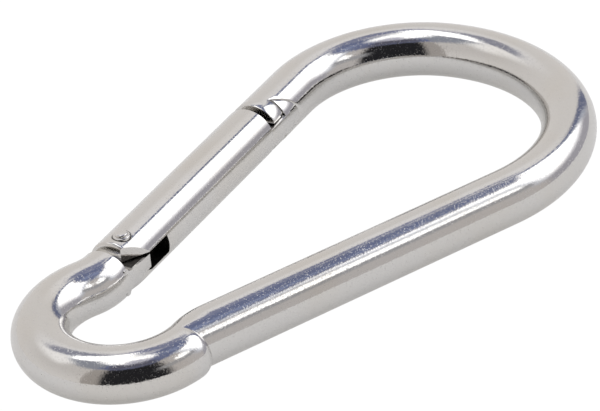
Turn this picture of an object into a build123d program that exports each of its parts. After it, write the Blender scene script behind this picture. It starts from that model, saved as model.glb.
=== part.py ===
from build123d import *
import os
from math import atan2, cos, degrees, radians, sin, sqrt, tan

# A gourd-shaped spring snap hook: one bent bar with a small eye and a large bow, closed by a sprung gate.
# Millimetres and degrees. The hook lies flat, +X runs from the small eye to the large bow, and the gate
# is on the +Y side. Shapes are drawn about the small eye's centre and moved to the frame's origin last.

# The bar and the line it is bent to
bar_radius = 6.5
leg_angle = 13.1              # each straight leg to the long axis
eye_radius = 18.3             # centreline of the small eye
eye_half_width = 6.72         # the eye is forged a little flat: half its section across the bend
eye_half_height = 6.31        # and half its section along Z
neck_radius = 11.7            # reverse bends between the eye and the legs
gate_leg_offset = 14.2        # from the eye's centre to the gate's axis
spine_leg_offset = 15.3       # from the eye's centre to the spine's axis
eye_end_angle = -81.0         # the forged eye stops here, in a rounded shoulder over the spine
eye_end_rounding = 2.6
spine_overrun = 14.0          # the spine's round bar runs on into the eye
neck_overrun = 18.0           # degrees that the neck runs on round the eye, under that shoulder
crown_radius = 40.7           # far end of the large bow
crown_x = 92.8
crown_y = 2.2
gate_flank_angle = 24.0       # where the crown arc hands over to the flank on the gate's side
spine_flank_angle = -37.7     # and to the flank on the spine's side

# The gate's axis: s runs along it from the end of the neck, n points out of the hook
gate_radius = 6.56
ear_end = 3.3                 # near end of the gate's two ears
ear_rounding = 0.9
rim_s = 65.0                  # far end of the gate's round part
rim_chamfer = 0.35
pivot_s = 7.2
pivot_n = -0.5

# Tang of the hook body, between the gate's ears
shoulder_s = 0.5              # where the round bar stops
shoulder_rounding = 0.4
tang_root_half = 3.4          # the tang flares to this half thickness at the shoulder
tang_flare_s = 0.2            # the flare's start and the middle of its curve
tang_flare_middle_s = 0.9
tang_flare_middle_half = 2.5
tang_waist_s = 3.0
tang_waist_half = 2.05
tang_end_half = 1.75
tang_end = 9.4
tang_inner_n = -6.1
tang_outer_n = 6.1
tang_rounding = 3.4
root_overlap = 1.0            # shapes that are joined start this far inside one another

# Fork slot, swing pocket and relief facet of the gate
slot_half = 2.3
fork_depth = 10.4             # s of the slot's floor on the gate's outer half
pocket_floor_s = 12.6
pocket_floor_n = -2.95
pocket_end = 16.7
relief_n = -2.4               # the relief facet starts at this n on the ears' end face
relief_angle = 31.7

# Rivet
rivet_radius = 1.5
rivet_clearance = 0.05        # the tang turns on the rivet
head_radius = 2.0
head_seat_z = 6.05
head_step_z = 6.85
crown_cap_radius = 1.45
rivet_top_z = 7.45
head_rounding = 0.3
seat_gap = 0.05

# Spring and plunger in the gate's blind bore
bore_radius = 2.25
bore_end = 34.0
plunger_radius = 2.2
plunger_front = 9.45
plunger_shoulder = 14.0
stem_radius = 1.4
stem_end = 19.0
plunger_edge = 0.3
spring_radius = 1.9           # centreline of the coil
wire_radius = 0.25
spring_end_gap = 0.02
spring_turns = 10

# Latch: the gate's hammer head hooks behind the two arms of the nose
nose_s = 66.8                 # near face of the nose
arm_end = 71.0                # far face of the arms
arm_inner_n = -5.5
latch_gap = 0.3
web_half = 2.3
web_slot_half = 2.55
web_top_n = -1.2
web_slot_n = -0.8
hammer_top_n = -2.6
hammer_slope = 35.0
hammer_gap = 0.4
gate_tip = 76.8
beyond = 10.0                 # how far cutting shapes reach past the metal


def polar(radius, angle):
    return Vector(radius * cos(radians(angle)), radius * sin(radians(angle)))


# Directions of the two legs and their outward normals
gate_dir = polar(1, leg_angle)
gate_out = polar(1, leg_angle + 90)
spine_dir = polar(1, -leg_angle)
spine_out = polar(1, -leg_angle - 90)


def neck(direction, outward, offset):
    """Centre of a neck bend, and the leg's end on it."""
    along = sqrt((eye_radius + neck_radius) ** 2 - (offset + neck_radius) ** 2)
    end = outward * offset + direction * along
    return end + outward * neck_radius, end


def flank(outward, offset, angle):
    """Radius and centre of a flank arc, tangent to the crown at an angle and to a leg."""
    toward = polar(1, angle)
    crown = Vector(crown_x, crown_y)
    radius = (offset - outward.dot(crown) - crown_radius * outward.dot(toward)) / (1 - outward.dot(toward))
    return radius, crown + toward * (crown_radius - radius)


gate_neck, gate_neck_end = neck(gate_dir, gate_out, gate_leg_offset)
spine_neck, spine_neck_end = neck(spine_dir, spine_out, spine_leg_offset)
gate_flank_radius, gate_flank = flank(gate_out, gate_leg_offset, gate_flank_angle)
spine_flank_radius, spine_flank = flank(spine_out, spine_leg_offset, spine_flank_angle)

# The gate's own frame: X along s, Y along n
gate_plane = Plane(origin=gate_neck_end, x_dir=gate_dir, z_dir=(0, 0, 1))

# The frame's origin: middle of the hook's outline, at the underside of the rivet
left_x = -eye_radius - eye_half_width
right_x = crown_x + crown_radius + bar_radius
low_y = spine_flank.Y - spine_flank_radius - bar_radius
high_y = gate_flank.Y + gate_flank_radius + bar_radius
to_frame = Pos(-(left_x + right_x) / 2, -(low_y + high_y) / 2, rivet_top_z)


def across(edge, position):
    """Plane square to an edge, with its X axis along +Z."""
    return Plane(origin=edge @ position, x_dir=(0, 0, 1), z_dir=edge % position)


def on_gate(shape):
    """Move a shape drawn in s, n and z to its place."""
    return gate_plane.location * shape


def slab(points, half_thickness):
    """A plate across Z, from an outline in s and n."""
    return extrude(make_face(Polyline(*points, close=True)), half_thickness, both=True)


def block(s0, s1, n0, n1, half_thickness):
    return slab([(s0, n0), (s1, n0), (s1, n1), (s0, n1)], half_thickness)


def rod(radius, s0, s1, n=0):
    """A round rod along the gate."""
    return Pos((s0 + s1) / 2, n, 0) * Rot(0, 90, 0) * Cylinder(radius, s1 - s0)


def hammer_line(gap):
    """Points on the hammer head's sloping top, or on the nose's slope a gap above it."""
    slope = tan(radians(hammer_slope))
    lift = gap / cos(radians(hammer_slope))
    start_s = arm_end + latch_gap

    def at(s):
        return (s, hammer_top_n + lift - (s - start_s) * slope)
    return at


def bow_and_spine():
    """Round bar from the nose, round the large bow and down the spine."""
    nose = gate_neck_end + gate_dir * nose_s
    gate_tangent = gate_flank + gate_out * gate_flank_radius
    spine_tangent = spine_flank + spine_out * spine_flank_radius
    path = [
        Line(nose, gate_tangent),
        CenterArc(gate_flank, gate_flank_radius, 90 + leg_angle, gate_flank_angle - 90 - leg_angle),
        CenterArc((crown_x, crown_y), crown_radius, gate_flank_angle, spine_flank_angle - gate_flank_angle),
        CenterArc(spine_flank, spine_flank_radius, spine_flank_angle, -90 - leg_angle - spine_flank_angle),
        Line(spine_tangent, spine_neck_end),
    ]
    return sweep(across(path[0], 0) * Circle(bar_radius), path=Wire(path))


def eye():
    """Small eye with its two necks, forged a little flatter than the bar, and its shoulder over the spine."""
    spine_end = degrees(atan2(spine_neck.Y, spine_neck.X))
    gate_end = degrees(atan2(gate_neck.Y, gate_neck.X))
    spine_bend = CenterArc(spine_neck, neck_radius, 90 - leg_angle, spine_end + 90 + leg_angle)
    ring = CenterArc((0, 0), eye_radius, eye_end_angle, gate_end - eye_end_angle - 360)
    gate_bend = CenterArc(gate_neck, neck_radius, gate_end - 180, 90 + leg_angle - gate_end)
    forged = Ellipse(eye_half_height, eye_half_width)
    round_bar = Circle(bar_radius)
    near = sweep([across(spine_bend, 0) * round_bar, across(spine_bend, 1) * forged], spine_bend, True)
    turn = CenterArc((0, 0), eye_radius, spine_end, -neck_overrun)
    near += sweep(across(turn, 0) * forged, path=turn)
    overrun = Line(spine_neck_end, spine_neck_end - spine_dir * spine_overrun)
    near = near & sweep(across(overrun, 0) * round_bar, path=overrun)
    middle = sweep(across(ring, 0) * forged, path=ring)
    rim = middle.edges().sort_by_distance(ring @ 0 + Vector(0, 0, eye_half_height))[0]
    middle = fillet(rim, eye_end_rounding)
    far = sweep([across(gate_bend, 0) * forged, across(gate_bend, 1) * round_bar], gate_bend, True)
    return near + middle + far


def tang():
    """Flat tongue with the hinge hole, and the rounded end of the bar that it grows from."""
    stub = rod(bar_radius, 0, shoulder_s)
    stub = fillet(stub.edges().sort_by(Axis.X)[-1], shoulder_rounding)
    tongue = block(-root_overlap, tang_end, tang_inner_n, tang_outer_n, beyond)
    outer_corner = tongue.edges().filter_by(Axis.Z).group_by(Axis.X)[-1].sort_by(Axis.Y)[-1]
    tongue = fillet(outer_corner, tang_rounding)
    flare = ThreePointArc((tang_flare_s, tang_root_half), (tang_flare_middle_s, tang_flare_middle_half),
                          (tang_waist_s, tang_waist_half))
    near, far = -root_overlap, tang_end + root_overlap
    side = [Line((near, tang_root_half), flare @ 0), flare, Line(flare @ 1, (far, tang_end_half)),
            Line((far, tang_end_half), (far, 0)), Line((far, 0), (near, 0)), Line((near, 0), (near, tang_root_half))]
    upper = extrude(Plane.XZ * make_face(side), beyond, both=True)
    tongue = tongue & (upper + mirror(upper, Plane.XY))
    hole = Pos(pivot_s, pivot_n, 0) * Cylinder(rivet_radius + rivet_clearance, 2 * beyond)
    return on_gate(stub + tongue - hole)


def hook_body():
    """One bent bar: nose, large bow, spine, small eye and tang."""
    slope = hammer_line(hammer_gap)
    near_s = nose_s - root_overlap
    far_s = gate_tip + beyond / 2
    arm_trim = block(near_s, arm_end, -beyond, arm_inner_n, beyond)
    web_slot = block(near_s, arm_end + root_overlap, -beyond, web_slot_n, web_slot_half)
    notch = slab([(arm_end, -beyond), slope(arm_end), slope(far_s), (far_s, -beyond)], beyond)
    body = bow_and_spine() + eye() + tang()
    return body - on_gate(arm_trim + web_slot + notch)


def gate():
    """Round gate with ears, fork slot, relief facet, blind bore, web and hammer head."""
    barrel = rod(gate_radius, ear_end, rim_s)
    ends = barrel.edges().filter_by(GeomType.CIRCLE).sort_by(Axis.X)
    barrel = fillet(ends[0], ear_rounding)
    ends = barrel.edges().filter_by(GeomType.CIRCLE).sort_by(Axis.X)
    barrel = chamfer(ends[-1], rim_chamfer)

    fork = slab([(0, -beyond), (0, beyond), (fork_depth, beyond), (fork_depth, pivot_n),
                 (pocket_floor_s, pocket_floor_n), (pocket_end, pocket_floor_n), (pocket_end, -beyond)], slot_half)
    drop = beyond * tan(radians(relief_angle))
    relief = slab([(ear_end - beyond, relief_n + drop), (ear_end + beyond, relief_n - drop),
                   (ear_end - beyond, relief_n - drop)], beyond)
    bore = rod(bore_radius, fork_depth - root_overlap, bore_end)
    hinge_hole = Pos(pivot_s, pivot_n, 0) * Cylinder(rivet_radius, 2 * beyond)
    seat = Cylinder(head_radius + seat_gap, beyond, align=(Align.CENTER, Align.CENTER, Align.MIN))
    seats = Pos(pivot_s, pivot_n, head_seat_z) * seat
    seats += Pos(pivot_s, pivot_n, -head_seat_z) * Rot(180, 0, 0) * seat

    slope = hammer_line(0)
    head_s = arm_end + latch_gap
    head = slab([(head_s, -beyond), slope(head_s), slope(gate_tip), (gate_tip, -beyond)], beyond)
    web = block(rim_s - root_overlap, head_s, -beyond, web_top_n, web_half)
    tip = (web + head) & rod(gate_radius, rim_s - root_overlap, gate_tip + root_overlap)
    return on_gate(barrel - fork - relief - bore - hinge_hole - seats + tip)


def hinge_rivet():
    """Headed pin through the ears, with a stepped button at each end."""
    shank = Cylinder(rivet_radius, 2 * head_seat_z)
    disc = Cylinder(head_radius, head_step_z - head_seat_z, align=(Align.CENTER, Align.CENTER, Align.MIN))
    cap = Cylinder(crown_cap_radius, rivet_top_z - head_step_z, align=(Align.CENTER, Align.CENTER, Align.MIN))
    disc = fillet(disc.edges().sort_by(Axis.Z)[-1], head_rounding)
    cap = fillet(cap.edges().sort_by(Axis.Z)[-1], head_rounding)
    button = Pos(0, 0, head_seat_z) * disc + Pos(0, 0, head_step_z) * cap
    rivet = shank + button + Rot(180, 0, 0) * button
    return on_gate(Pos(pivot_s, pivot_n, 0) * rivet)


def spring_plunger():
    """Thrust pin that the spring pushes against the tang's end."""
    head = rod(plunger_radius, plunger_front, plunger_shoulder)
    head = chamfer(head.edges().filter_by(GeomType.CIRCLE), plunger_edge)
    stem = rod(stem_radius, plunger_shoulder - plunger_edge, stem_end)
    return on_gate(head + stem)


def gate_spring():
    """Compression coil between the plunger's shoulder and the bottom of the bore."""
    start = plunger_shoulder + wire_radius + spring_end_gap
    length = bore_end - plunger_shoulder - 2 * (wire_radius + spring_end_gap)
    line = Helix(pitch=length / spring_turns, height=length, radius=spring_radius)
    wire = sweep(Plane(origin=line @ 0, z_dir=line % 0) * Circle(wire_radius), path=line)
    return on_gate(Pos(start, 0, 0) * Rot(0, 90, 0) * wire)


os.makedirs("parts", exist_ok=True)
for make in (hook_body, gate, hinge_rivet, spring_plunger, gate_spring):
    export_step(to_frame * make(), "parts/" + make.__name__ + ".step")
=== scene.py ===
import bpy
from math import atan2, cos, degrees, radians, sin, tan
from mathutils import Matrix, Quaternion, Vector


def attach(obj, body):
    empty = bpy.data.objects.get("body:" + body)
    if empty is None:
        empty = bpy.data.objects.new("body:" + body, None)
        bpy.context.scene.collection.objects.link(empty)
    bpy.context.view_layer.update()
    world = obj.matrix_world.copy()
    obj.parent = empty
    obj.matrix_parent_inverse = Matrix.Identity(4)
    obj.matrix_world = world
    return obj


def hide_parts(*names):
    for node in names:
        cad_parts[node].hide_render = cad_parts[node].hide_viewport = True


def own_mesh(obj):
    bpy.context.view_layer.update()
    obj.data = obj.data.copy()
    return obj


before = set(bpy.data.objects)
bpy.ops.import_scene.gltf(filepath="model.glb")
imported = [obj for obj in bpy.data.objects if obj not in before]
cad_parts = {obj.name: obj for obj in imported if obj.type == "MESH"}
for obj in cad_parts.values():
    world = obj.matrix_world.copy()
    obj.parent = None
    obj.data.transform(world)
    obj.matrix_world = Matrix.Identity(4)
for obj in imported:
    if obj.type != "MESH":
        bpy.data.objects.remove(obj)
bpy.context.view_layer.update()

scene = bpy.context.scene
scene.view_settings.view_transform = "Standard"

# camera

view = {
    "place": (-0.479678, -0.495894, 0.447836),
    "heading": 44.04,      # degrees from +Y towards +X
    "tilt": 32.52,         # degrees down
    "roll": -6.27,
    "lens": 215.09,
    "sensor": 36.0,
    "farthest": 20.0,
}


def addCamera():
    data = bpy.data.cameras.new("camera")
    data.lens = view["lens"]
    data.sensor_width = view["sensor"]
    data.clip_end = view["farthest"]
    camera = bpy.data.objects.new("camera", data)
    heading, tilt = radians(view["heading"]), radians(view["tilt"])
    forward = Vector((sin(heading) * cos(tilt), cos(heading) * cos(tilt), -sin(tilt)))
    camera.rotation_mode = "QUATERNION"
    roll = Quaternion((0, 0, 1), radians(view["roll"]))
    camera.rotation_quaternion = forward.to_track_quat("-Z", "Y") @ roll
    camera.location = view["place"]
    scene.collection.objects.link(camera)
    scene.camera = camera


addCamera()
print("camera placed")

# studio

white = 2.3
degreesPerRadian = 57.2958
studio = {
    "wall": (0.84, 0.81, 0.79),
    # azimuth and elevation in degrees, softness of the four edges, colour
    "panels": [
        (10, 110, 40, 60, 5, 20, 6, 4, (0.97, 0.95, 0.95)),          # the wall brightens upwards
        (-100, -40, -20, 62, 8, 8, 5, 5, (0.62, 0.59, 0.58)),        # side wall
        (-52, 8, -20, 40, 6, 4, 5, 12, (0.47, 0.46, 0.51)),          # under the main light
        (110, 181, 20, 62, 40, 1, 20, 4, (0.72, 0.69, 0.67)),
        (-181, -158, -20, 60, 1, 6, 8, 6, (0.45, 0.42, 0.40)),
        (-162, -91, -8, 66, 4, 6, 8, 6, (0.022, 0.022, 0.025)),      # the dark side of the room
        (-181, 181, 59, 100, 1, 1, 2.5, 1, (0.19, 0.22, 0.37)),      # dark ceiling
        (-168, -84, 60, 100, 8, 10, 6, 1, (0.13, 0.13, 0.18)),
        (-42, -22, 62, 72, 8, 6, 3, 4, (0.30, 0.35, 0.54)),
        (14, 46, 66, 76, 5, 4, 3, 3, (0.58, 0.59, 0.68)),
        (108, 181, 57, 78, 10, 1, 5, 4, (0.34, 0.36, 0.42)),
        (-60, -48, 20, 62, 3, 3, 8, 3, (0.50, 0.53, 0.62)),
        (-181, 181, 77, 100, 1, 1, 3, 1, (1.75, 1.76, 1.78)),        # overhead light
        (-145, -62, 75, 88, 12, 18, 5, 6, (0.62, 0.62, 0.74)),
        (18, 50, 53, 67, 3, 6, 2, 2, (0.27, 0.29, 0.43)),
        (45, 108, 60.5, 84, 4, 8, 2.5, 2, (white, white, white)),    # far light
        (34, 50, 72, 84, 4, 4, 3, 2, (1.5, 1.5, 1.5)),
        (90, 140, 42, 60, 8, 10, 8, 4, (1.15, 1.13, 1.12)),
        (56, 94, 47, 60, 5, 5, 3, 2.5, (0.33, 0.34, 0.42)),          # shadow line under the far light
        (-52, 5, 23, 57.5, 11, 3, 10, 1.5, (white, white, white * 1.02)),   # main light
        (4, 12, 8, 58, 2, 3, 8, 3, (0.50, 0.53, 0.62)),
        (8, 12, 28, 60, 1, 1, 4, 1, (0.13, 0.16, 0.31)),
        (9, 18, -10, 36, 2, 2.5, 5, 8, (0.18, 0.20, 0.31)),
        (-100, -56, 27, 38, 8, 3, 4, 3, (0.43, 0.43, 0.45)),
        (-76, -60, 37.5, 46, 2, 2, 1.5, 2, (2.0, 2.0, 2.0)),         # small strip light, in two steps
        (-68, -60, 43, 50, 2, 2, 2, 1.5, (1.8, 1.8, 1.8)),
    ],
    "floor": (0.90, 0.885, 0.86),
    "floorSize": 6.0,
    "floorRoughness": 0.9,
    "glow": 1.1,               # the light table's strength in reflections
    "seenWhite": 1.05,         # what the camera sees of the room and the table
    "glowShare": 0.35,         # glowing part of the floor in reflections
    "glowShareSeen": 0.62,     # and what is added to it for the camera
}


def calc(tree, operation, first, second=None):
    node = tree.nodes.new("ShaderNodeMath")
    node.operation = operation
    for socket, value in zip(node.inputs, (first, second)):
        if value is None:
            continue
        if isinstance(value, (int, float)):
            socket.default_value = value
        else:
            tree.links.new(value, socket)
    return node.outputs[0]


def ramp(tree, value, start, end):
    node = tree.nodes.new("ShaderNodeMapRange")
    node.interpolation_type = "SMOOTHSTEP"
    tree.links.new(value, node.inputs["Value"])
    node.inputs["From Min"].default_value = start
    node.inputs["From Max"].default_value = end
    return node.outputs["Result"]


def blendColour(tree, factor, first, second):
    node = tree.nodes.new("ShaderNodeMix")
    node.data_type = "RGBA"
    for name, value in (("Factor_Float", factor), ("A_Color", first), ("B_Color", second)):
        socket = next(s for s in node.inputs if s.identifier == name)
        if isinstance(value, (int, float)):
            socket.default_value = value
        elif isinstance(value, tuple):
            socket.default_value = (*value, 1.0)
        else:
            tree.links.new(value, socket)
    return next(s for s in node.outputs if s.identifier == "Result_Color")


def lightRoom():
    world = bpy.data.worlds.new("studio")
    world.use_nodes = True
    scene.world = world
    tree = world.node_tree
    tree.nodes.clear()
    direction = tree.nodes.new("ShaderNodeTexCoord").outputs["Generated"]
    parts = tree.nodes.new("ShaderNodeSeparateXYZ")
    tree.links.new(direction, parts.inputs[0])
    x, y, z = parts.outputs
    azimuth = calc(tree, "MULTIPLY", calc(tree, "ARCTAN2", y, x), degreesPerRadian)
    elevation = calc(tree, "MULTIPLY", calc(tree, "ARCSINE", z), degreesPerRadian)
    colour = studio["wall"]
    for left, right, low, high, softLeft, softRight, softLow, softHigh, tint in studio["panels"]:
        mask = calc(tree, "MULTIPLY", ramp(tree, azimuth, left - softLeft, left + softLeft),
                    ramp(tree, azimuth, right + softRight, right - softRight))
        mask = calc(tree, "MULTIPLY", mask, ramp(tree, elevation, low - softLow, low + softLow))
        mask = calc(tree, "MULTIPLY", mask, ramp(tree, elevation, high + softHigh, high - softHigh))
        colour = blendColour(tree, mask, colour, tint)
    background = tree.nodes.new("ShaderNodeBackground")
    tree.links.new(colour, background.inputs["Color"])
    plain = tree.nodes.new("ShaderNodeBackground")
    plain.inputs["Color"].default_value = (1, 1, 1, 1)
    plain.inputs["Strength"].default_value = studio["seenWhite"]
    mix = tree.nodes.new("ShaderNodeMixShader")
    path = tree.nodes.new("ShaderNodeLightPath")
    tree.links.new(path.outputs["Is Camera Ray"], mix.inputs[0])
    tree.links.new(background.outputs[0], mix.inputs[1])
    tree.links.new(plain.outputs[0], mix.inputs[2])
    output = tree.nodes.new("ShaderNodeOutputWorld")
    tree.links.new(mix.outputs[0], output.inputs["Surface"])


def addFloor():
    bpy.ops.object.select_all(action="DESELECT")
    bpy.ops.mesh.primitive_plane_add(size=studio["floorSize"])
    floor = bpy.context.object
    floor.name = "floor"
    material = bpy.data.materials.new("paleFloor")
    material.use_nodes = True
    tree = material.node_tree
    shader = tree.nodes["Principled BSDF"]
    shader.inputs["Base Color"].default_value = (*studio["floor"], 1)
    shader.inputs["Roughness"].default_value = studio["floorRoughness"]
    shader.inputs["Specular IOR Level"].default_value = 0.0
    glow = tree.nodes.new("ShaderNodeEmission")    # a light table: white to the camera, softer in the steel
    path = tree.nodes.new("ShaderNodeLightPath")
    seen = path.outputs["Is Camera Ray"]
    change = calc(tree, "MULTIPLY", seen, studio["seenWhite"] - studio["glow"])
    strength = calc(tree, "ADD", change, studio["glow"])
    tree.links.new(strength, glow.inputs["Strength"])
    glow.inputs["Color"].default_value = (1, 1, 1, 1)
    mix = tree.nodes.new("ShaderNodeMixShader")
    share = calc(tree, "MULTIPLY", seen, studio["glowShareSeen"])
    tree.links.new(calc(tree, "ADD", share, studio["glowShare"]), mix.inputs[0])
    tree.links.new(shader.outputs[0], mix.inputs[1])
    tree.links.new(glow.outputs[0], mix.inputs[2])
    tree.links.new(mix.outputs[0], tree.nodes["Material Output"].inputs["Surface"])
    floor.data.materials.append(material)


# bent bar: millimetres about the small eye's centre until a piece is finished

hook = {
    "sides": 72,
    "steps": {"nose": 8, "gateFlank": 40, "crown": 32, "spineFlank": 34, "spine": 36, "neck": 14,
              "overrun": 10, "eye": 80, "eyeEnd": 9, "shoulder": 5},
    "barRadius": 6.5,
    "legAngle": 13.1,         # each leg to the long axis
    "eyeRadius": 18.3,
    "eyeHalfWidth": 6.72,
    "eyeHalfHeight": 6.31,
    "eyeEnd": -81.0,          # degrees, where the forged eye stops over the spine
    "eyeEndRounding": 2.6,
    "neckRadius": 11.7,
    "neckOverrun": 22.0,      # degrees that the neck runs on under the eye
    "gateOffset": 14.2,       # eye's centre to the gate's axis
    "spineOffset": 15.3,
    "crown": (92.8, 2.2),
    "crownRadius": 40.7,
    "gateFlank": (101.373, 6.017),
    "gateFlankAngle": 24.0,
    "spineFlank": (95.815, -0.130),
    "spineFlankAngle": -37.7,
    "noseStart": 66.8,        # along the gate's axis
    "shoulderEnd": 0.5,
    "shoulderRounding": 0.4,
    "edge": 0.28,             # rounding of the cut edges
}
eyeCentre = Vector((-57.49, -0.1565, 7.45))
mm = 0.001
mergeDistance = 0.0005
sliver = 0.03                 # edges shorter than this are collapsed before rounding
slack = 0.01
smoothAngle = 28


def polar(radius, angle):
    return Vector((radius * cos(radians(angle)), radius * sin(radians(angle)), 0))


leg = hook["legAngle"]
gateDir, gateOut = polar(1, leg), polar(1, leg + 90)
spineDir, spineOut = polar(1, -leg), polar(1, -leg - 90)


def neckPlace(direction, outward, offset):
    reach = hook["eyeRadius"] + hook["neckRadius"]
    along = (reach ** 2 - (offset + hook["neckRadius"]) ** 2) ** 0.5
    end = outward * offset + direction * along
    return end + outward * hook["neckRadius"], end


gateNeck, gateStart = neckPlace(gateDir, gateOut, hook["gateOffset"])
spineNeck, spineStart = neckPlace(spineDir, spineOut, hook["spineOffset"])


def onGate(s, n, z=0.0):
    return gateStart + gateDir * s + gateOut * n + Vector((0, 0, z))


def deselect():
    if bpy.context.mode != "OBJECT":
        bpy.ops.object.mode_set(mode="OBJECT")
    bpy.ops.object.select_all(action="DESELECT")


# open ring across the heading, in edit mode and all selected
def addRing(name, place, heading, radius, height=None, sides=None):
    deselect()
    bpy.ops.mesh.primitive_circle_add(vertices=sides or hook["sides"], radius=radius, location=place,
                                      rotation=(radians(90), 0, radians(heading + 90)))
    piece = bpy.context.object
    piece.name = name
    bpy.ops.object.transform_apply(location=True, rotation=True, scale=True)
    bpy.ops.object.mode_set(mode="EDIT")
    bpy.ops.mesh.select_all(action="SELECT")
    if height:
        bpy.ops.transform.resize(value=(1, 1, height / radius), center_override=place)
    return piece


# extrudes the selected ring along a straight run
def pull(move, steps=1):
    for _ in range(steps):
        bpy.ops.mesh.extrude_region_move(TRANSFORM_OT_translate={"value": move / steps})


def swell(place, width, height):
    bpy.ops.transform.resize(value=(width, width, height), center_override=place)


# spins the selected ring about a centre, and changes its width and height on the way
def bend(centre, radius, start, turn, steps, width=1.0, height=1.0):
    for step in range(steps):
        bpy.ops.mesh.spin(steps=1, angle=radians(abs(turn) / steps), center=centre,
                          axis=(0, 0, -1 if turn > 0 else 1))   # with no window, spin turns clockwise
        if width != 1.0 or height != 1.0:
            place = centre + polar(radius, start + turn * (step + 1) / steps)
            before = (1 + (width - 1) * step / steps, 1 + (height - 1) * step / steps)
            after = (1 + (width - 1) * (step + 1) / steps, 1 + (height - 1) * (step + 1) / steps)
            swell(place, after[0] / before[0], after[1] / before[1])


def closeEnds():
    bpy.ops.mesh.select_all(action="SELECT")
    bpy.ops.mesh.remove_doubles(threshold=mergeDistance)
    bpy.ops.mesh.select_all(action="DESELECT")
    bpy.ops.mesh.select_non_manifold()
    bpy.ops.mesh.edge_face_add()
    bpy.ops.mesh.select_all(action="SELECT")
    bpy.ops.mesh.normals_make_consistent(inside=False)
    bpy.ops.object.mode_set(mode="OBJECT")


def combine(piece, tool, operation):
    deselect()
    piece.select_set(True)
    bpy.context.view_layer.objects.active = piece
    bpy.ops.object.modifier_add(type="BOOLEAN")
    modifier = piece.modifiers[-1]
    modifier.object = tool
    modifier.operation = operation
    modifier.solver = "EXACT"
    bpy.ops.object.modifier_apply(modifier=modifier.name)
    bpy.data.objects.remove(tool)


# plate across Z from an outline in s and n on the gate
def addSlab(name, points, halfThickness):
    deselect()
    bpy.ops.mesh.primitive_circle_add(vertices=len(points), radius=1, fill_type="NGON")
    piece = bpy.context.object
    piece.name = name
    for vertex, (s, n) in zip(piece.data.vertices, points):
        vertex.co = onGate(s, n, -halfThickness)
    bpy.ops.object.mode_set(mode="EDIT")
    bpy.ops.mesh.select_all(action="SELECT")
    bpy.ops.mesh.extrude_region_move(TRANSFORM_OT_translate={"value": (0, 0, 2 * halfThickness)})
    bpy.ops.mesh.select_all(action="SELECT")
    bpy.ops.mesh.normals_make_consistent(inside=False)
    bpy.ops.object.mode_set(mode="OBJECT")
    return piece


def addRod(name, radius, start, end, sides=48):
    piece = addRing(name, onGate(start, 0.0), leg, radius, sides=sides)
    pull(gateDir * (end - start))
    closeEnds()
    return piece


# round bar from the nose round the large bow, down the spine and into the eye
def makeBar():
    nose = onGate(hook["noseStart"], 0)
    steps = hook["steps"]
    crown = Vector((*hook["crown"], 0))
    gateFlank, spineFlank = Vector((*hook["gateFlank"], 0)), Vector((*hook["spineFlank"], 0))
    gateTangentS = (gateFlank - gateStart).dot(gateDir)
    piece = addRing("hookBar", nose, leg, hook["barRadius"])
    pull(gateDir * (gateTangentS - hook["noseStart"]), steps["nose"])
    bend(gateFlank, 0, 0, hook["gateFlankAngle"] - 90 - leg, steps["gateFlank"])
    bend(crown, 0, 0, hook["spineFlankAngle"] - hook["gateFlankAngle"], steps["crown"])
    bend(spineFlank, 0, 0, -90 - leg - hook["spineFlankAngle"], steps["spineFlank"])
    tangent = spineFlank + spineOut * ((spineFlank.dot(spineOut) * -1) + hook["spineOffset"])
    pull(spineStart - tangent, steps["spine"])
    toEye = degrees(atan2(spineNeck.y, spineNeck.x))
    bend(spineNeck, hook["neckRadius"], 90 - leg, toEye + 90 + leg, steps["neck"],
         hook["eyeHalfWidth"] / hook["barRadius"], hook["eyeHalfHeight"] / hook["barRadius"])
    bend(Vector((0, 0, 0)), 0, 0, -hook["neckOverrun"], steps["overrun"])
    closeEnds()
    for vertex in piece.data.vertices:                      # the spine stays straight outside the neck
        fromStart = vertex.co - spineStart
        along = fromStart.dot(spineDir)
        if along < -slack:
            axisPoint = spineStart + spineDir * along
            arm = vertex.co - axisPoint
            if arm.length > hook["barRadius"]:
                vertex.co = axisPoint + arm.normalized() * hook["barRadius"]
    return piece


# small eye from its rounded shoulder over the spine to the gate's neck and the tang's shoulder
def makeEye():
    full, rounding = hook["eyeHalfWidth"], hook["eyeEndRounding"]
    steps = hook["steps"]

    def ringAngle(depth):
        return hook["eyeEnd"] - degrees(depth / hook["eyeRadius"])

    def scaleAt(t):
        return 1 - rounding * (1 - sin(t)) / full

    start = ringAngle(0)
    place = polar(hook["eyeRadius"], start)
    piece = addRing("hookEye", place, start - 90, full * scaleAt(0), hook["eyeHalfHeight"] * scaleAt(0))
    last, lastAngle = scaleAt(0), start
    for step in range(1, steps["eyeEnd"] + 1):
        t = radians(90 * step / steps["eyeEnd"])
        angle = ringAngle(rounding * (1 - cos(t)))
        bend(Vector((0, 0, 0)), 0, 0, angle - lastAngle, 1)
        swell(polar(hook["eyeRadius"], angle), scaleAt(t) / last, scaleAt(t) / last)
        last, lastAngle = scaleAt(t), angle
    gateEnd = degrees(atan2(gateNeck.y, gateNeck.x))
    bend(Vector((0, 0, 0)), 0, 0, gateEnd - 360 - lastAngle, steps["eye"])
    bend(gateNeck, hook["neckRadius"], gateEnd - 180, 90 + leg - gateEnd, steps["neck"],
         hook["barRadius"] / hook["eyeHalfWidth"], hook["barRadius"] / hook["eyeHalfHeight"])
    corner = hook["shoulderRounding"]
    pull(gateDir * (hook["shoulderEnd"] - corner))
    last = 0.0
    for step in range(1, steps["shoulder"] + 1):
        t = radians(90 * step / steps["shoulder"])
        pull(gateDir * corner * (sin(t) - sin(last)))
        size = (hook["barRadius"] - corner * (1 - cos(t))) / (hook["barRadius"] - corner * (1 - cos(last)))
        swell(onGate(hook["shoulderEnd"] - corner * (1 - sin(t)), 0), size, size)
        last = t
    closeEnds()
    return piece


# tang, notches and the nose, in s (along the gate), n (outwards) and z

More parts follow.
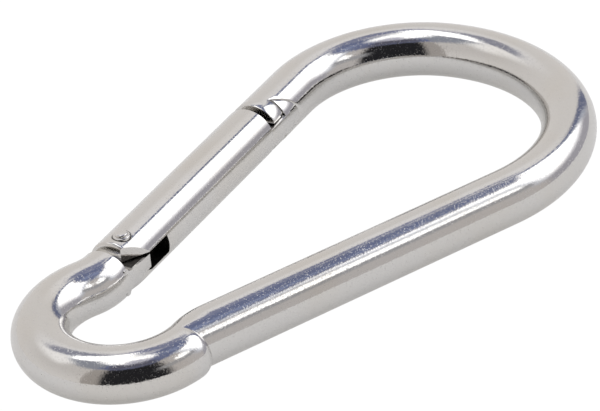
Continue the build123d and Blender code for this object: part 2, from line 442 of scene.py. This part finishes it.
tang = {
    "end": 9.4, "inner": -6.1, "outer": 6.1, "corner": 3.4,
    "rootHalf": 3.4, "flareStart": 0.2, "flareEnd": 3.0, "waistHalf": 2.05, "endHalf": 1.75,
    "hole": 1.55, "edge": 0.45,
}
latch = {
    "armEnd": 71.0, "armInner": -5.5, "gap": 0.3, "webHalf": 2.3, "webSlotHalf": 2.55, "webTop": -1.2,
    "webSlotTop": -0.8, "hammerTop": -2.6, "hammerSlope": 35.0, "hammerGap": 0.4, "tip": 76.8,
    "edge": 0.14,
}
pivot = (7.2, -0.5)
beyond = 10.0                 # how far cutting shapes reach past the metal


def hammerTop(s, gap):
    slope = tan(radians(latch["hammerSlope"]))
    lift = gap / cos(radians(latch["hammerSlope"]))
    return (s, latch["hammerTop"] + lift - (s - latch["armEnd"] - latch["gap"]) * slope)


def block(name, s0, s1, n0, n1, halfThickness):
    return addSlab(name, [(s0, n0), (s1, n0), (s1, n1), (s0, n1)], halfThickness)


def makeTang():
    corner, steps = tang["corner"], 12
    outline = [(-1, tang["inner"]), (tang["end"], tang["inner"])]
    for step in range(steps + 1):
        t = radians(90 * step / steps)
        outline.append((tang["end"] - corner * (1 - cos(t)), tang["outer"] - corner * (1 - sin(t))))
    outline.append((-1, tang["outer"]))
    piece = addSlab("tang", outline, beyond)
    reach = tang["flareEnd"] - tang["flareStart"]
    profile = [(-1.5, tang["rootHalf"])]
    for step in range(11):
        t = radians(90 * step / 10)
        profile.append((tang["flareEnd"] - reach * cos(t),
                        tang["rootHalf"] - (tang["rootHalf"] - tang["waistHalf"]) * sin(t)))
    profile.append((tang["end"] + 1, tang["endHalf"]))
    profile += [(s, -z) for s, z in reversed(profile)]
    side = addSlab("tangSide", profile, 1)                # drawn in s and n, then stood up across the tang
    count = len(side.data.vertices) // 2
    for index, vertex in enumerate(side.data.vertices):
        s, z = profile[index % count]
        vertex.co = onGate(s, -beyond if index < count else beyond, z)
    combine(piece, turnedOut(side), "INTERSECT")
    hole = lathe("hole", [(-beyond, tang["hole"]), (beyond, tang["hole"])], 40)
    combine(piece, hole, "DIFFERENCE")
    return piece


def turnedOut(piece):
    deselect()
    piece.select_set(True)
    bpy.context.view_layer.objects.active = piece
    bpy.ops.object.mode_set(mode="EDIT")
    bpy.ops.mesh.select_all(action="SELECT")
    bpy.ops.mesh.normals_make_consistent(inside=False)
    bpy.ops.object.mode_set(mode="OBJECT")
    return piece


# round shape about the hinge axis, from a list of heights and radii
def lathe(name, rings, sides):
    deselect()
    base = onGate(*pivot)
    z, radius = rings[0]
    bpy.ops.mesh.primitive_circle_add(vertices=sides, radius=radius, location=base + Vector((0, 0, z)))
    piece = bpy.context.object
    piece.name = name
    bpy.ops.object.transform_apply(location=True, rotation=True, scale=True)
    bpy.ops.object.mode_set(mode="EDIT")
    bpy.ops.mesh.select_all(action="SELECT")
    for nextZ, nextRadius in rings[1:]:
        bpy.ops.mesh.extrude_region_move(TRANSFORM_OT_translate={"value": (0, 0, nextZ - z)})
        swell(base + Vector((0, 0, nextZ)), nextRadius / radius, 1)
        z, radius = nextZ, nextRadius
    closeEnds()
    return piece


# rounds the sharp edges, after the slivers that the cuts left are collapsed
def softenEdges(piece, width, angle=35, segments=2, clamp=False):
    deselect()
    piece.select_set(True)
    bpy.context.view_layer.objects.active = piece
    bpy.ops.object.mode_set(mode="EDIT")
    bpy.ops.mesh.select_all(action="SELECT")
    bpy.ops.mesh.dissolve_degenerate(threshold=sliver)
    bpy.ops.object.mode_set(mode="OBJECT")
    bpy.ops.object.modifier_add(type="BEVEL")
    modifier = piece.modifiers[-1]
    modifier.width = width
    modifier.segments = segments
    modifier.limit_method = "ANGLE"
    modifier.angle_limit = radians(angle)
    modifier.use_clamp_overlap = clamp
    modifier.miter_outer = "MITER_ARC"
    bpy.ops.object.modifier_apply(modifier=modifier.name)
    return piece


def makeHook():
    piece = makeBar()
    start, far = hook["noseStart"] - 1, latch["tip"] + 5
    armEnd, gap = latch["armEnd"], latch["hammerGap"]
    combine(piece, block("armTrim", start, armEnd, -beyond, latch["armInner"], beyond), "DIFFERENCE")
    webSlot = block("webSlot", start, armEnd + 1, -beyond, latch["webSlotTop"], latch["webSlotHalf"])
    combine(piece, webSlot, "DIFFERENCE")
    notch = [(armEnd, -beyond), (far, -beyond), hammerTop(far, gap), hammerTop(armEnd, gap)]
    combine(piece, addSlab("notch", notch, beyond), "DIFFERENCE")
    softenEdges(piece, hook["edge"])
    combine(piece, makeEye(), "UNION")
    combine(piece, softenEdges(makeTang(), tang["edge"], clamp=True), "UNION")
    return piece


barrel = {
    "radius": 6.56, "earEnd": 3.3, "earRounding": 0.9, "rim": 65.0, "rimChamfer": 0.35,
    "slotHalf": 2.3, "forkDepth": 10.4, "pocketFloor": (12.6, -2.95), "pocketEnd": 16.7,
    "reliefStart": -2.4, "reliefAngle": 31.7, "bore": 2.25, "boreEnd": 34.0,
    "pinHole": 1.5, "seatRadius": 2.05, "seat": 6.05,
}


def makeGate():
    radius, rounding, chamfer = barrel["radius"], barrel["earRounding"], barrel["rimChamfer"]
    first = barrel["earEnd"]
    piece = addRing("gateBarrel", onGate(first, 0), leg, radius - rounding)
    last = 0.0
    for step in range(1, 9):
        t = radians(90 * step / 8)
        pull(gateDir * rounding * (cos(last) - cos(t)))
        size = (radius - rounding * (1 - sin(t))) / (radius - rounding * (1 - sin(last)))
        swell(onGate(first + rounding * (1 - cos(t)), 0), size, size)
        last = t
    pull(gateDir * (barrel["rim"] - chamfer - first - rounding), 34)
    pull(gateDir * chamfer)
    swell(onGate(barrel["rim"], 0), (radius - chamfer) / radius, (radius - chamfer) / radius)
    closeEnds()

    fork = [(0, -beyond), (barrel["pocketEnd"], -beyond), (barrel["pocketEnd"], barrel["pocketFloor"][1]),
            barrel["pocketFloor"], (barrel["forkDepth"], pivot[1]), (barrel["forkDepth"], beyond),
            (0, beyond)]
    combine(piece, addSlab("fork", fork, barrel["slotHalf"]), "DIFFERENCE")
    drop = beyond * tan(radians(barrel["reliefAngle"]))
    relief = [(first - beyond, barrel["reliefStart"] + drop), (first - beyond, barrel["reliefStart"] - drop),
              (first + beyond, barrel["reliefStart"] - drop)]
    combine(piece, addSlab("relief", relief, beyond), "DIFFERENCE")
    combine(piece, addRod("bore", barrel["bore"], barrel["forkDepth"] - 1, barrel["boreEnd"]), "DIFFERENCE")
    pinHole = lathe("pinHole", [(-beyond, barrel["pinHole"]), (beyond, barrel["pinHole"])], 40)
    combine(piece, pinHole, "DIFFERENCE")
    for side in (-1, 1):
        seatRings = [(side * barrel["seat"], barrel["seatRadius"]), (side * beyond, barrel["seatRadius"])]
        combine(piece, lathe("seat", seatRings, 48), "DIFFERENCE")

    headStart, tip = latch["armEnd"] + latch["gap"], latch["tip"]
    outline = [(headStart, -beyond), (tip, -beyond), hammerTop(tip, 0), hammerTop(headStart, 0)]
    head = addSlab("head", outline, beyond)
    web = block("web", barrel["rim"] - 2, headStart + 0.5, -beyond, latch["webTop"], latch["webHalf"])
    trim = [(barrel["rim"] - 3, -beyond - 1), (tip + 1, -beyond - 1), hammerTop(tip + 1, 0),
            hammerTop(headStart, 0), (headStart, latch["webTop"] + 0.5),
            (barrel["rim"] - 3, latch["webTop"] + 0.5)]
    combine(web, addSlab("webTrim", trim, beyond), "INTERSECT")
    combine(head, web, "UNION")
    rod = addRod("round", radius - slack, barrel["rim"] - 3, tip + 1, sides=hook["sides"])
    combine(head, rod, "INTERSECT")
    softenEdges(head, latch["edge"], clamp=True)
    combine(piece, head, "UNION")
    return piece


# heights from the gate's axis and radii, for the upper half
rivet = {
    "foot": [(6.05, 1.5), (6.06, 2.0), (6.55, 2.0)],
    "headCorner": (6.55, 1.72), "headRise": 0.28,
    "buttonFoot": [(6.85, 1.47), (7.12, 1.45)],
    "buttonCorner": (7.12, 1.17), "buttonRise": 0.27,
    "rounding": 0.28,
    "top": [(7.42, 0.8), (7.445, 0.4), (7.45, 0.1)],
    "sides": 48,
}


def roundCorner(corner, rise, sweep, steps):
    z, radius = corner
    turns = [radians(sweep * step / steps) for step in range(1, steps + 1)]
    return [(z + rise * sin(t), radius + rivet["rounding"] * cos(t)) for t in turns]


def makeRivet():
    profile = rivet["foot"] + roundCorner(rivet["headCorner"], rivet["headRise"], 90, 4)
    profile += rivet["buttonFoot"] + roundCorner(rivet["buttonCorner"], rivet["buttonRise"], 75, 5)
    profile += rivet["top"]
    return lathe("rivetPin", [(-z, r) for z, r in reversed(profile)] + profile, rivet["sides"])


# zinc plate

plating = {
    "tint": (0.66, 0.65, 0.635),
    # painted shade colour for the hinge recess and the gap round the rivet's seat
    "paintedShade": (0.07, 0.065, 0.06),
    "roughness": (0.05, 0.30),
    "waveScale": 110, "peelScale": 2200, "pitScale": 2600, "mottleScale": 2300, "stainScale": 60,
    "pitRange": (0.32, 0.2), "mottleRange": (0.48, 0.72), "stainRange": (0.42, 0.7),
    "shade": 0.9, "warm": (0.95, 0.91, 0.84), "mottleShare": 0.5, "stainShare": 0.35,
    # roughness added under the painted shade, its outer limit in n and the radii of its ring round the
    # rivet's seat
    "paintedShadeRoughness": 0.3, "paintedShadeOuter": 5.9, "paintedShadeRing": (2.45, 2.1),
}


def link(tree, value, socket):
    tree.links.new(value, socket)


def noise(tree, place, scale, detail=3.0, roughness=0.5):
    node = tree.nodes.new("ShaderNodeTexNoise")
    node.inputs["Scale"].default_value = scale
    node.inputs["Detail"].default_value = detail
    node.inputs["Roughness"].default_value = roughness
    link(tree, place, node.inputs["Vector"])
    return node.outputs["Fac"]


# height of the plated skin: slow forging waves, fine orange peel and small pits
def buildGrain():
    group = bpy.data.node_groups.new("plateGrain", "ShaderNodeTree")
    for name in ("Waves", "Peel", "Pits"):
        group.interface.new_socket(name=name, in_out="INPUT", socket_type="NodeSocketFloat")
    for name in ("Height", "Mottle", "Stain"):
        group.interface.new_socket(name=name, in_out="OUTPUT", socket_type="NodeSocketFloat")
    entry = group.nodes.new("NodeGroupInput")
    leave = group.nodes.new("NodeGroupOutput")
    place = group.nodes.new("ShaderNodeTexCoord").outputs["Object"]
    waves = calc(group, "MULTIPLY", noise(group, place, plating["waveScale"], 1.5), entry.outputs["Waves"])
    peel = calc(group, "MULTIPLY", noise(group, place, plating["peelScale"], 2.5), entry.outputs["Peel"])
    pits = ramp(group, noise(group, place, plating["pitScale"], 1.0), *plating["pitRange"])
    pits = calc(group, "MULTIPLY", pits, entry.outputs["Pits"])
    height = calc(group, "SUBTRACT", calc(group, "ADD", waves, peel), pits)
    link(group, height, leave.inputs["Height"])
    mottle = ramp(group, noise(group, place, plating["mottleScale"], 2.0, 0.6), *plating["mottleRange"])
    link(group, mottle, leave.inputs["Mottle"])
    stain = ramp(group, noise(group, place, plating["stainScale"], 3.0), *plating["stainRange"])
    link(group, stain, leave.inputs["Stain"])
    return group


grain = buildGrain()


def along(tree, place, direction):
    node = tree.nodes.new("ShaderNodeVectorMath")
    node.operation = "DOT_PRODUCT"
    link(tree, place, node.inputs[0])
    node.inputs[1].default_value = direction
    return node.outputs["Value"]


# painted shade in the hinge: a block in s, n and z about the gate's axis that darkens the slot's recess, and
# a dark ring round the rivet's seat
def buildPaintedShade():
    group = bpy.data.node_groups.new("hingePaintedShade", "ShaderNodeTree")
    for name in ("From", "To", "Inner", "Half", "Ring"):
        group.interface.new_socket(name=name, in_out="INPUT", socket_type="NodeSocketFloat")
    group.interface.new_socket(name="Mask", in_out="OUTPUT", socket_type="NodeSocketFloat")
    entry = group.nodes.new("NodeGroupInput")
    leave = group.nodes.new("NodeGroupOutput")
    place = group.nodes.new("ShaderNodeTexCoord").outputs["Object"]
    origin = (eyeCentre + gateStart) * mm
    s = calc(group, "SUBTRACT", along(group, place, gateDir), origin.dot(gateDir))
    n = calc(group, "SUBTRACT", along(group, place, gateOut), origin.dot(gateOut))
    z = calc(group, "ABSOLUTE", calc(group, "SUBTRACT", along(group, place, (0, 0, 1)), origin.z))
    mask = calc(group, "MULTIPLY", calc(group, "GREATER_THAN", s, entry.outputs["From"]),
                calc(group, "LESS_THAN", s, entry.outputs["To"]))
    mask = calc(group, "MULTIPLY", mask, calc(group, "GREATER_THAN", n, entry.outputs["Inner"]))
    mask = calc(group, "MULTIPLY", mask, calc(group, "LESS_THAN", n, plating["paintedShadeOuter"] * mm))
    mask = calc(group, "MULTIPLY", mask, calc(group, "LESS_THAN", z, entry.outputs["Half"]))
    across = calc(group, "SUBTRACT", s, pivot[0] * mm)
    over = calc(group, "SUBTRACT", n, pivot[1] * mm)
    reach = calc(group, "SQRT", calc(group, "ADD", calc(group, "MULTIPLY", across, across),
                                     calc(group, "MULTIPLY", over, over)))
    # dark ring of painted shade in the gap round the rivet's head
    ringOuter, ringInner = plating["paintedShadeRing"]
    ring = ramp(group, reach, ringOuter * mm, ringInner * mm)
    ring = calc(group, "MULTIPLY", ring, calc(group, "LESS_THAN", z, entry.outputs["Ring"]))
    mask = calc(group, "MAXIMUM", mask, ring)
    link(group, mask, leave.inputs["Mask"])
    return group


paintedShadeGroup = buildPaintedShade()


# painted shade box: from and to along the gate, inner side, half thickness and the ring's height, in
# millimetres
def platedSteel(name, waves, peel, pits, tint=None, rough=None, shadeBox=None):
    material = bpy.data.materials.new(name)
    material.use_nodes = True
    tree = material.node_tree
    shader = tree.nodes["Principled BSDF"]
    shader.inputs["Metallic"].default_value = 1.0
    skin = tree.nodes.new("ShaderNodeGroup")
    skin.node_tree = grain
    for socket, value in (("Waves", waves), ("Peel", peel), ("Pits", pits)):
        skin.inputs[socket].default_value = value
    tint = tint or plating["tint"]
    shade = tuple(value * plating["shade"] for value in tint)
    warm = tuple(value * share for value, share in zip(tint, plating["warm"]))
    mottle = calc(tree, "MULTIPLY", skin.outputs["Mottle"], plating["mottleShare"])
    colour = blendColour(tree, mottle, tint, shade)
    stain = calc(tree, "MULTIPLY", skin.outputs["Stain"], plating["stainShare"])
    colour = blendColour(tree, stain, colour, warm)
    low, high = rough or plating["roughness"]
    roughness = calc(tree, "ADD", calc(tree, "MULTIPLY", skin.outputs["Mottle"], high - low), low)
    # painted shade: darkens the hinge recess and the rivet's seat ring in the base colour, and roughens it
    if shadeBox:
        paintedShade = tree.nodes.new("ShaderNodeGroup")
        paintedShade.node_tree = paintedShadeGroup
        for socket, value in zip(("From", "To", "Inner", "Half", "Ring"), shadeBox):
            paintedShade.inputs[socket].default_value = value * mm
        colour = blendColour(tree, paintedShade.outputs["Mask"], colour, plating["paintedShade"])
        dull = calc(tree, "MULTIPLY", paintedShade.outputs["Mask"], plating["paintedShadeRoughness"])
        roughness = calc(tree, "ADD", roughness, dull)
    link(tree, colour, shader.inputs["Base Color"])
    link(tree, roughness, shader.inputs["Roughness"])
    bump = tree.nodes.new("ShaderNodeBump")
    bump.inputs["Distance"].default_value = mm
    link(tree, skin.outputs["Height"], bump.inputs["Height"])
    link(tree, bump.outputs[0], shader.inputs["Normal"])
    return material


def placePiece(piece, body, node, material):
    deselect()
    piece.select_set(True)
    bpy.context.view_layer.objects.active = piece
    bpy.ops.transform.translate(value=eyeCentre)
    bpy.ops.transform.resize(value=(mm, mm, mm), center_override=(0, 0, 0))
    bpy.ops.object.transform_apply(location=True, rotation=True, scale=True)
    bpy.ops.object.shade_smooth_by_angle(angle=radians(smoothAngle))
    piece.data.materials.append(material)
    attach(piece, body)
    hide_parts(node)


lightRoom()
addFloor()
print("studio lit")

hookBar = makeHook()
# painted shade on the tang's sides inside the slot
barSteel = platedSteel("platedBar", 0.05, 0.012, 0.010, shadeBox=(2.4, 20, -5.5, 2.3, 0))
placePiece(hookBar, "hook", "hook_body", barSteel)
print("hook modelled")
gateBarrel = makeGate()
# painted shade inside the fork and in a ring round the rivet's seat
gateSteel = platedSteel("platedGate", 0.02, 0.008, 0.008, shadeBox=(2, 16.72, -6.7, 2.33, 8))
placePiece(gateBarrel, "gate", "gate", gateSteel)
print("gate modelled")
rivetPin = makeRivet()
placePiece(rivetPin, "gate", "hinge_rivet", platedSteel("platedRivet", 0.03, 0.02, 0.01))
print("rivet modelled")
springWire = platedSteel("springWire", 0.0, 0.01, 0.0, (0.42, 0.41, 0.40), (0.25, 0.4))
for name in ("gate_spring", "spring_plunger"):
    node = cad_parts[name]
    node.data.materials.clear()
    node.data.materials.append(springWire)

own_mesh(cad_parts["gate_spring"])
